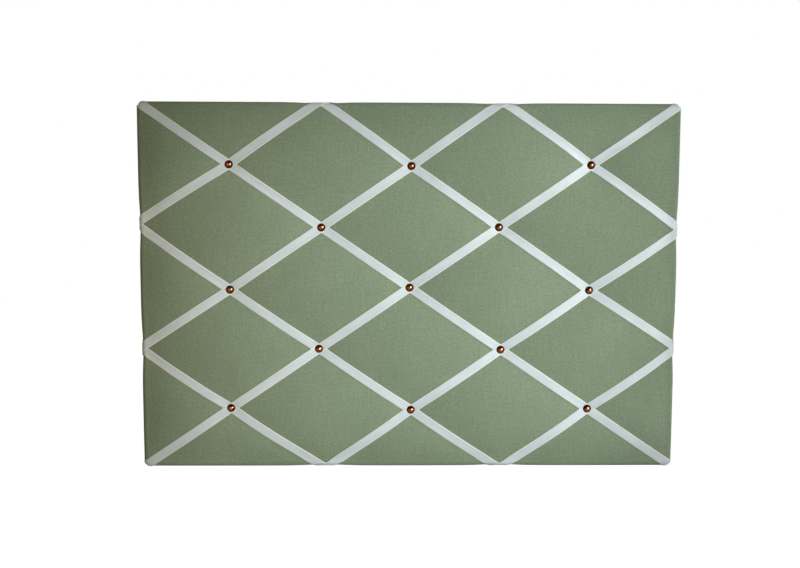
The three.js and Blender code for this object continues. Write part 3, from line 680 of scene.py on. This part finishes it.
def corner_lane(ribbon, lane):
    """A lane of a diagonal ribbon, which turns over two corners of the board, as for the edges."""
    t = np.arange(-CORNER_OVERRUN, ribbon.length + CORNER_OVERRUN, LANE_STEP / 2)
    plan = ribbon.plan(t, lane)
    inset, out = outline_inset(plan)
    inside = inset > 0
    t, plan, inset, out = t[inside], plan[inside], inset[inside], out[inside]
    drop = np.clip(1 - inset / COVER_ROLL, 0, 1)
    stand = np.sqrt(1 - drop * drop)
    rise = FIELD.at(plan) + COVER_SHOULDER
    lean = np.stack([drop / COVER_ROLL, stand / rise])
    lean *= raise_over(ribbon, t) / np.hypot(*lean)
    front = place(plan + out * lean[0][:, None], rise * stand - COVER_SHOULDER + lean[1])
    start = corner_tail(plan[0], out[0], ribbon.heading)[::-1]
    end = corner_tail(plan[-1], out[-1], -ribbon.heading)
    return np.vstack([start, front, end]), len(start), len(start) + len(front) - 1


def lane_rows(points, first, last, rows):
    """Points at even steps along each stretch of a lane: tails, rolls and the face between them."""
    run = np.concatenate([[0], np.cumsum(np.linalg.norm(np.diff(points, axis=0), axis=1))])
    marks = [0, run[first], run[first] + ROLL_REACH, run[last] - ROLL_REACH, run[last], run[-1]]
    stretches = zip(marks, marks[1:], rows)
    wanted = [np.linspace(a, b, count, endpoint=False) for a, b, count in stretches]
    wanted = np.append(np.concatenate(wanted), run[-1])
    return np.column_stack([np.interp(wanted, run, points[:, axis]) for axis in range(3)]), wanted


def make_ribbon(ribbon):
    """A ribbon's piece and its length."""
    lane_of = corner_lane if ribbon.outward[0] is None else edge_lane
    rows = [TAIL_ROWS, ROLL_ROWS, int(ribbon.length / RIBBON_STEP), ROLL_ROWS, TAIL_ROWS]
    made = [lane_rows(*lane_of(ribbon, lane), rows) for lane in RIBBON_LANES]
    under = np.stack([points for points, _ in made], axis=1)
    along = np.stack([run for _, run in made], axis=1)
    count = len(under)
    middle = len(RIBBON_LANES) // 2
    length = along[-1, middle]
    normal = np.cross(np.gradient(under, axis=1), np.gradient(under, axis=0))
    normal /= np.linalg.norm(normal, axis=2, keepdims=True)
    if normal[count // 2, middle, 1] > 0:
        normal = -normal
    over = under + normal * LANE_THICKNESS[None, :, None]
    section = np.concatenate([under, over[:, ::-1]], axis=1)
    size = section.shape[1]
    faces = []
    for n in range(count - 1):
        for k in range(size):
            m = (k + 1) % size
            faces.append((n * size + k, n * size + m, (n + 1) * size + m, (n + 1) * size + k))
    faces.append(list(range(size))[::-1])
    faces.append([(count - 1) * size + k for k in range(size)])
    piece = turn_out(add_mesh(f"satin_{ribbon.name}", section.reshape(-1, 3), faces))
    half_way = under[count // 2][:, [0, 2]] @ ribbon.heading
    along = along - along[count // 2] + half_way
    lane_row = np.broadcast_to(RIBBON_LANES, along.shape)
    strip = np.stack([lane_row, along], axis=-1)
    strip = np.concatenate([strip, strip[:, ::-1]], axis=1)
    add_coordinates(piece, "strip", strip.reshape(-1, 2))
    return piece, length


# Fasteners


def lathe(name, profile, way=-1):
    """A turned piece about its own Y axis, whose heights run along Y the given way.

    The profile is a list of radius and height.
    """
    points = []
    faces = []
    rings = []
    for radius, height in profile:
        if radius < 1e-6:
            rings.append([len(points)])
            points.append((0, way * height, 0))
            continue
        rings.append([len(points) + k for k in range(ROUND_STEPS)])
        for k in range(ROUND_STEPS):
            angle = 2 * math.pi * k / ROUND_STEPS
            points.append((radius * math.cos(angle), way * height, radius * math.sin(angle)))
    for low, high in zip(rings, rings[1:]):
        for k in range(ROUND_STEPS):
            n = (k + 1) % ROUND_STEPS
            corners = [low[k % len(low)], low[n % len(low)], high[n % len(high)], high[k % len(high)]]
            faces.append(list(dict.fromkeys(corners)))
    return turn_out(add_mesh(name, points, faces))


def headed_profile(head, height, rim, shank, length, point):
    """A domed head over a pointed shank; the seat under the head is at height zero."""
    radius = head / 2
    soft = min(HEAD_SOFT_EDGE, rim / 3)
    shares = np.linspace(1, 0, DOME_STEPS + 1)
    dome = [(radius * share, height - (height - rim) * share**2) for share in shares]
    return [
        (0, -length),
        (shank / 2, point - length),
        (shank / 2, 0),
        (radius - soft, 0),
        (radius, soft),
        (radius, (soft + rim) / 2),
        *dome,
    ]


def cut_recess(piece, top):
    """Sink a cross for a screwdriver into a head, from its top."""
    half, arm = RECESS_WIDTH / 2, RECESS_SPAN / 2
    corner = np.array([(arm, -half), (arm, half), (half, half)])
    quarter_turns = [np.array([[c, s], [-s, c]]) for c, s in ((1, 0), (0, 1), (-1, 0), (0, -1))]
    outline = np.vstack([corner @ turn for turn in quarter_turns])
    count = len(outline)
    ends = ((top - RECESS_DEPTH, RECESS_FOOT), (top + RECESS_CLEAR, RECESS_MOUTH))
    points = [(x * taper, y, z * taper) for y, taper in ends for x, z in outline]
    faces = [list(range(count))[::-1], list(range(count, 2 * count))]
    faces += [(k, (k + 1) % count, (k + 1) % count + count, k + count) for k in range(count)]
    cutter = turn_out(add_mesh("recess_cutter", points, faces, smooth=False))
    cut = piece.modifiers.new("recess", "BOOLEAN")
    cut.object = cutter
    cut.operation = "DIFFERENCE"
    cut.solver = "EXACT"
    shaped = piece.evaluated_get(bpy.context.evaluated_depsgraph_get())
    piece.data = bpy.data.meshes.new_from_object(shaped)
    piece.modifiers.clear()
    piece.data.set_sharp_from_angle(angle=math.radians(35))
    bpy.data.objects.remove(cutter)


def soften(obj, width):
    """Break a solid's sharp edges."""
    bevel = obj.modifiers.new("soft_edges", "BEVEL")
    bevel.width = width * MM
    bevel.segments = 2
    bevel.limit_method = "ANGLE"
    bevel.angle_limit = math.radians(40)


def make_ring(name, side):
    """A D-ring of round wire, standing on its straight bar."""
    half = RING_WIDTH / 2
    points = []
    for x, z, radius, start, turn, steps in (
        (half - RING_CORNER, RING_CORNER, RING_CORNER, -0.5, 0.5, RING_CORNER_STEPS),
        (0, RING_HEIGHT - half, half, 0, 1, RING_BOW_STEPS),
        (RING_CORNER - half, RING_CORNER, RING_CORNER, 1, 0.5, RING_CORNER_STEPS),
    ):
        for k in range(steps + 1):
            angle = math.pi * (start + turn * k / steps)
            points.append((x + radius * math.cos(angle), z + radius * math.sin(angle)))
    points = np.array(points)
    ahead = np.roll(points, -1, axis=0) - np.roll(points, 1, axis=0)
    ahead /= np.hypot(*ahead.T)[:, None]
    turn = 2 * math.pi * np.arange(WIRE_SIDES) / WIRE_SIDES
    sideways = np.cos(turn) * RING_WIRE / 2
    deep = np.sin(turn) * RING_WIRE / 2
    x = RING_X * side + points[:, :1] + ahead[:, 1:] * sideways
    z = RING_AXIS[1] + points[:, 1:] - ahead[:, :1] * sideways
    y = np.broadcast_to(RING_AXIS[0] + deep, x.shape)
    tube = np.stack([x, y, z], axis=-1).reshape(-1, 3)
    faces = []
    for k in range(len(points)):
        here, there = k * WIRE_SIDES, (k + 1) % len(points) * WIRE_SIDES
        for n in range(WIRE_SIDES):
            m = (n + 1) % WIRE_SIDES
            faces.append((here + n, here + m, there + m, there + n))
    return add_mesh(f"{name}_d_ring", tube, faces)


# Materials


class Nodes:
    """Short ways to add nodes to a tree."""

    def __init__(self, tree):
        self.tree = tree

    def node(self, kind, inputs=None, output=0, **settings):
        made = self.tree.nodes.new(f"ShaderNode{kind}")
        for key, value in settings.items():
            setattr(made, key, value)
        for key, value in (inputs or {}).items():
            self.feed(made.inputs[key], value)
        return made.outputs[output]

    def feed(self, socket, value):
        if isinstance(value, bpy.types.NodeSocket):
            self.tree.links.new(value, socket)
        else:
            socket.default_value = value

    def math(self, operation, a, b=0.0):
        return self.node("Math", {0: a, 1: b}, operation=operation)

    def weighted(self, *terms):
        """The sum of values, each times its weight."""
        first, *others = [self.math("MULTIPLY", value, weight) for value, weight in terms]
        for other in others:
            first = self.math("ADD", first, other)
        return first

    def scaled(self, vector, x, y, z=1.0):
        return self.node("VectorMath", {0: vector, 1: (x, y, z)}, operation="MULTIPLY")

    def split(self, vector):
        return self.node("SeparateXYZ", {0: vector}).node.outputs

    def noise(self, vector, scale=1.0, detail=2.0, roughness=0.5):
        inputs = {"Vector": vector, "Scale": scale, "Detail": detail, "Roughness": roughness}
        return self.node("TexNoise", inputs)

    def ramp(self, value, *stops):
        made = self.tree.nodes.new("ShaderNodeValToRGB")
        self.tree.links.new(value, made.inputs[0])
        while len(made.color_ramp.elements) < len(stops):
            made.color_ramp.elements.new(0.5)
        for element, (position, colour) in zip(made.color_ramp.elements, stops):
            element.position = position
            element.color = (*colour, 1)
        return made.outputs[0]

    def between(self, value, low, high, start=0.0, end=1.0):
        """A value from start to end spread over another range."""
        inputs = {"Value": value, "From Min": start, "From Max": end, "To Min": low, "To Max": high}
        return self.node("MapRange", inputs)

    def mix(self, share, a, b):
        return self.node("Mix", {0: share, 2: a, 3: b})

    def mix_colour(self, share, a, b):
        """A colour between one from a node or written and a written one."""
        a = a if isinstance(a, bpy.types.NodeSocket) else (*a, 1)
        return self.node("Mix", {0: share, 6: a, 7: (*b, 1)}, output=2, data_type="RGBA")

    def object_place(self):
        return self.node("TexCoord", output=3)


class Shader(Nodes):
    """A material with a principled surface."""

    def __init__(self, name, roughness, metallic=0.0, **constants):
        self.material = bpy.data.materials.new(name)
        self.material.use_nodes = True
        super().__init__(self.material.node_tree)
        self.surface = self.tree.nodes["Principled BSDF"]
        self.set(Roughness=roughness, Metallic=metallic, **constants)

    def set(self, **sockets):
        for key, value in sockets.items():
            self.feed(self.surface.inputs[key.replace("_", " ")], value)
        return self.material

    def in_millimetres(self):
        return self.scaled(self.object_place(), 1 / MM, 1 / MM, 1 / MM)

    def bump(self, height, distance, strength=1.0):
        """Relief from a height, with its depth in metres."""
        inputs = {"Height": height, "Distance": distance, "Strength": strength}
        self.set(Normal=self.node("Bump", inputs))


def rgb(red, green, blue):
    """Linear colour from display values of 0 to 255."""
    return tuple(
        c / 3294.6 if c < 10.3 else ((c / 255 + 0.055) / 1.055) ** 2.4 for c in (red, green, blue)
    )


def cloth_material():
    """Plain weave with uneven threads, in the cloth's own coordinates."""
    shader = Shader("sage_cloth", 0.92, Sheen_Weight=0.12, Sheen_Roughness=0.5, Specular_IOR_Level=0.2)
    spread = shader.node("Attribute", attribute_name="weave", output=1)
    wander = shader.noise(shader.scaled(spread, 0.05, 0.05), detail=3.0)
    wander = shader.scaled(shader.node("CombineXYZ", {0: wander, 1: wander}), 1.2, 1.2)
    shaken = shader.node("VectorMath", {0: spread, 1: wander}, operation="ADD")
    warp_wave, weft_wave = [
        shader.math("SINE", shader.math("MULTIPLY", along, math.pi / THREAD_PITCH))
        for along in shader.split(shaken)[:2]
    ]
    weave = shader.between(shader.math("MULTIPLY", warp_wave, weft_wave), 0.0, 1.0, start=-1.0)
    warp = shader.noise(shader.scaled(shaken, 0.75, 0.035), detail=2.5, roughness=0.6)
    weft = shader.noise(shader.scaled(shaken, 0.035, 0.75), detail=2.5, roughness=0.6)
    streak = shader.weighted((warp, 0.62), (weft, 0.38))
    grain = shader.noise(spread, 0.75, roughness=0.6)
    slubs = shader.noise(spread, 0.42, detail=1.0)
    cloudy = shader.noise(spread, 0.012)
    tone = shader.weighted((streak, 0.36), (weave, 0.18), (grain, 0.3), (slubs, 0.36), (cloudy, 0.16))
    colour = shader.ramp(
        tone,
        (0.38, rgb(103, 118, 96)),
        (0.68, rgb(131, 148, 123)),
        (0.98, rgb(156, 173, 148)),
    )
    shader.bump(shader.weighted((weave, 0.7), (streak, 0.6)), 0.00016, 0.7)
    return shader.set(Base_Color=colour)


def satin_material():
    """Long floats along the ribbon between ribbed selvedges, in the ribbon's own coordinates."""
    shader = Shader("white_satin", 0.5, Sheen_Weight=0.2, Sheen_Roughness=0.35, Specular_IOR_Level=0.8)
    strip = shader.node("Attribute", attribute_name="strip", output=1)
    floats = shader.noise(shader.scaled(strip, 5.0, 0.12), detail=3.0, roughness=0.6)
    cloudy = shader.noise(shader.scaled(strip, 0.12, 0.03))
    across, along = shader.split(strip)[:2]
    off_middle = shader.math("ABSOLUTE", across)
    selvedge = shader.between(off_middle, 0.0, 1.0, start=SELVEDGE_START, end=SELVEDGE_FULL)
    picks = shader.math("SINE", shader.math("MULTIPLY", along, 2 * math.pi / PICK_PITCH))
    ribs = shader.math("MULTIPLY", shader.between(picks, 0.0, 1.0), selvedge)
    tone = shader.weighted((floats, 0.5), (cloudy, 0.5))
    body = shader.ramp(
        tone,
        (0.25, rgb(195, 206, 210)),
        (0.5, rgb(210, 221, 224)),
        (0.75, rgb(223, 232, 235)),
    )
    colour = shader.mix_colour(selvedge, body, rgb(236, 242, 241))
    shader.bump(shader.weighted((floats, 0.4), (ribs, 0.5)), 0.00008, 0.6)
    return shader.set(Base_Color=colour, Roughness=shader.between(tone, 0.44, 0.56))


def copper_material():
    """Plate painted lighter at the head's top as a painted highlight, and darker towards its rim as
    painted shade with some patina, unevenly.
    """
    shader = Shader("copper_plate", 0.28, 1.0, Coat_Weight=0.3, Coat_Roughness=0.22)
    place_on = shader.in_millimetres()
    x, _, z = shader.split(place_on)
    flat = shader.node("CombineXYZ", {0: x, 1: z})
    radius = shader.node("VectorMath", {0: flat}, operation="LENGTH", output=1)
    share = shader.math("DIVIDE", radius, NAIL["head"] / 2)
    blotch = shader.noise(place_on, 0.9, detail=4.0, roughness=0.6)
    uneven = shader.math("MULTIPLY", shader.math("SUBTRACT", blotch, 0.5), 0.16)
    # Painted highlight at the head's top; painted shade with some patina towards the rim
    colour = shader.ramp(
        shader.math("ADD", share, uneven),
        (0.0, rgb(248, 180, 132)),
        (0.42, rgb(226, 134, 84)),
        (0.68, rgb(116, 47, 24)),
        (0.9, rgb(44, 15, 9)),
    )
    shader.bump(shader.noise(place_on, 9.0, detail=3.0, roughness=0.7), 0.00002, 0.25)
    return shader.set(Base_Color=colour, Roughness=shader.between(blotch, 0.19, 0.29))


def steel_material(name, shade, roughness):
    """Plated steel with a drawn grain and faint spots."""
    shader = Shader(name, roughness, 1.0)
    place_on = shader.in_millimetres()
    grain = shader.noise(shader.scaled(place_on, 6.0, 6.0, 0.8), detail=3.0, roughness=0.6)
    spots = shader.noise(place_on, 0.6, detail=4.0, roughness=0.6)
    colour = shader.ramp(spots, (0.3, tuple(0.78 * c for c in shade)), (0.62, shade))
    shader.bump(grain, 0.00002, 0.3)
    rough = shader.between(grain, roughness - 0.08, roughness + 0.1)
    return shader.set(Base_Color=colour, Roughness=rough)


def board_material(name, dark, light, fleck, roughness):
    """Pressed fibre: fine flecks over a soft mottle."""
    shader = Shader(name, roughness, Specular_IOR_Level=0.35)
    place_on = shader.in_millimetres()
    mottle = shader.noise(place_on, 0.05, detail=6.0, roughness=0.7)
    fibre = shader.noise(shader.scaled(place_on, 0.35, 1.0, 0.9), detail=5.0, roughness=0.7)
    chips = shader.noise(shader.scaled(place_on, 0.9, 1.0, 0.3), 1.6)
    base = shader.ramp(shader.weighted((mottle, 0.4), (fibre, 0.6)), (0.3, dark), (0.7, light))
    flecked = shader.between(chips, 0.0, 1.0, start=0.6, end=0.72)
    colour = shader.mix_colour(shader.math("MULTIPLY", flecked, 0.5), base, fleck)
    shader.bump(fibre, 0.0001, 0.35)
    rough = shader.between(fibre, roughness - 0.1, roughness + 0.1)
    return shader.set(Base_Color=colour, Roughness=rough)


def wadding_material():
    shader = Shader("white_wadding", 1.0, Sheen_Weight=0.3)
    tufts = shader.noise(shader.in_millimetres(), 0.25, detail=5.0, roughness=0.7)
    colour = shader.ramp(tufts, (0.3, rgb(222, 220, 212)), (0.7, rgb(246, 245, 240)))
    shader.bump(tufts, 0.0008, 0.6)
    return shader.set(Base_Color=colour)


CLOTH = cloth_material()
SATIN = satin_material()
COPPER = copper_material()
NICKEL = steel_material("nickel_plate", rgb(214, 212, 206), 0.26)
ZINC = steel_material("zinc_plate", rgb(198, 201, 204), 0.34)
HARDBOARD = board_material("hardboard", rgb(96, 66, 42), rgb(140, 104, 72), rgb(64, 42, 26), 0.55)
FIBREBOARD = board_material("fibreboard", rgb(158, 124, 86), rgb(190, 158, 118), rgb(128, 98, 66), 0.8)

# Pieces on the board


def finish_piece(piece, material, body, slot, *nodes):
    piece.data.materials.append(material)
    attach(piece, body)
    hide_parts(*nodes)
    return piece


def add_back_fastener(node, name, sizes, material, slot):
    """A headed piece that faces the wall, at its solid's place."""
    low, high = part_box(node)
    piece = lathe(name, headed_profile(**sizes), way=1)
    if sizes is SCREW:
        cut_recess(piece, sizes["height"])
    piece.location = ((low.x + high.x) / 2, high.y - sizes["height"] * MM, (low.z + high.z) / 2)
    finish_piece(piece, material, "board", slot, node)


cover = finish_piece(make_cover(), CLOTH, "board", "cloth", "fabric_cover")

wadding = finish_piece(make_wadding(), wadding_material(), "board", "wadding", "wadding")

for ribbon in RIBBONS:
    piece, length = make_ribbon(ribbon)
    finish_piece(piece, SATIN, "board", "satin", f"ribbon_{ribbon.name}")

for nail in NAILS:
    piece = lathe(f"copper_{nail.node}", headed_profile(**NAIL))
    piece.location = [c * MM for c in place(nail.plan[None], nail.seat)[0]]
    finish_piece(piece, COPPER, "board", "copper", nail.node)

for name, side in SIDES.items():
    finish_piece(make_ring(name, side), NICKEL, f"{name}_ring", "ring", f"{name}_hanging_ring")
for k in range(1, 7):
    add_back_fastener(f"panel_pin_{k}", f"zinc_pin_{k}", PIN, ZINC, "pin")
for name in SIDES:
    add_back_fastener(f"{name}_hanger_screw", f"{name}_screw", SCREW, NICKEL, "screw")

for node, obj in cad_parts.items():
    if obj.hide_render:
        continue
    if node == "back_panel":
        material = HARDBOARD
        soften(obj, PANEL_SOFT_EDGE)
    elif node == "core_board":
        material = FIBREBOARD
    elif node.startswith("staple"):
        material = ZINC
    else:
        material = NICKEL
        soften(obj, STRAP_SOFT_EDGE)
    obj.material_slots[0].material = material

# Stage, light and camera


def make_floor():
    """A pale floor that is white to the camera and keeps the board's shadow."""
    corners = [(-1, -1), (1, -1), (1, 1), (-1, 1)]
    points = [(x * FLOOR_REACH / MM, y * FLOOR_REACH / MM, FLOOR_LEVEL / MM) for x, y in corners]
    floor = add_mesh("floor", points, [(0, 1, 2, 3)], smooth=False)
    shader = Shader("pale_floor", 0.9)
    speckle = shader.noise(shader.object_place(), 3.0, detail=4.0)
    shader.set(Base_Color=shader.ramp(speckle, (0.3, (0.86, 0.86, 0.85)), (0.7, (0.92, 0.92, 0.91))))
    path = shader.node("LightPath").node.outputs
    seen = shader.math("MAXIMUM", path["Is Camera Ray"], path["Is Transmission Ray"])
    strength = shader.math("MULTIPLY", seen, 0.92)
    glow = shader.node("Emission", {"Color": (1, 1, 1, 1), "Strength": strength})
    both = shader.node("AddShader", {0: shader.surface.outputs[0], 1: glow})
    shader.feed(shader.tree.nodes["Material Output"].inputs["Surface"], both)
    floor.data.materials.append(shader.material)


def make_world(ambient, tint):
    """White to the camera, a dim room in front of the board to reflections, and even soft light."""
    world = bpy.data.worlds.new("studio")
    bpy.context.scene.world = world
    world.use_nodes = True
    nodes = Nodes(world.node_tree)
    path = nodes.node("LightPath").node.outputs
    _, way, _ = nodes.split(nodes.node("TexCoord"))
    backdrop = nodes.between(way, 0.06, 0.8, start=-0.1, end=0.5)
    level = nodes.mix(path["Is Glossy Ray"], ambient, backdrop)
    level = nodes.mix(path["Is Camera Ray"], level, 1.0)
    level = nodes.mix(path["Is Transmission Ray"], level, 1.0)
    colour = nodes.mix_colour(path["Is Diffuse Ray"], (1, 1, 1), tint)
    background = nodes.tree.nodes["Background"]
    nodes.feed(background.inputs["Strength"], level)
    nodes.feed(background.inputs["Color"], colour)


def add_area(name, location, target, size, watts, colour, spread):
    """A soft box whose light is narrowed to a spread in degrees."""
    data = bpy.data.lights.new(name, "AREA")
    data.shape = "RECTANGLE"
    data.size, data.size_y = size
    data.energy = watts
    data.color = colour
    data.spread = math.radians(spread)
    lamp = bpy.data.objects.new(name, data)
    bpy.context.scene.collection.objects.link(lamp)
    lamp.location = location
    toward = Vector(target) - Vector(location)
    lamp.rotation_euler = toward.to_track_quat("-Z", "Y").to_euler()


def add_camera(location, angles, lens, sensor):
    data = bpy.data.cameras.new("camera")
    data.lens = lens
    data.sensor_width = sensor
    data.sensor_fit = "HORIZONTAL"
    camera = bpy.data.objects.new("camera", data)
    bpy.context.scene.collection.objects.link(camera)
    camera.location = location
    camera.rotation_euler = [math.radians(angle) for angle in angles]
    bpy.context.scene.camera = camera


make_floor()
make_world(ambient=0.13, tint=(1.0, 0.86, 0.62))
add_area(
    "key",
    location=(0.811, -0.865, 0.155),
    target=(-0.024, 0, -0.014),
    size=(0.417, 0.475),
    watts=0.497,
    colour=(0.97, 0.99, 1.0),
    spread=14.6,
)
add_area(
    "high_fill",
    location=(1.017, -1.126, 0.284),
    target=(0.257, 0, -0.055),
    size=(0.62, 0.7),
    watts=1.0,
    colour=(0.96, 0.99, 1.0),
    spread=49,
)
add_area(
    "warm_fill",
    location=(-0.8, -1.0, 0.0),
    target=(-0.36, 0, 0),
    size=(0.3, 0.5),
    watts=0.1,
    colour=(1.0, 0.62, 0.2),
    spread=40,
)
for name, side in SIDES.items():
    add_area(
        f"rear_{name}",
        location=(0.9 * side, 0.9, 0.5),
        target=(0, 0, 0),
        size=(0.44, 0.34),
        watts=0.46,
        colour=(1.0, 0.98, 0.95),
        spread=17,
    )
add_camera((-0.02353, -0.90255, 0.07186), angles=(85.6073, -0.169, -0.8093), lens=35, sensor=36)
bpy.context.scene.view_settings.view_transform = "Standard"
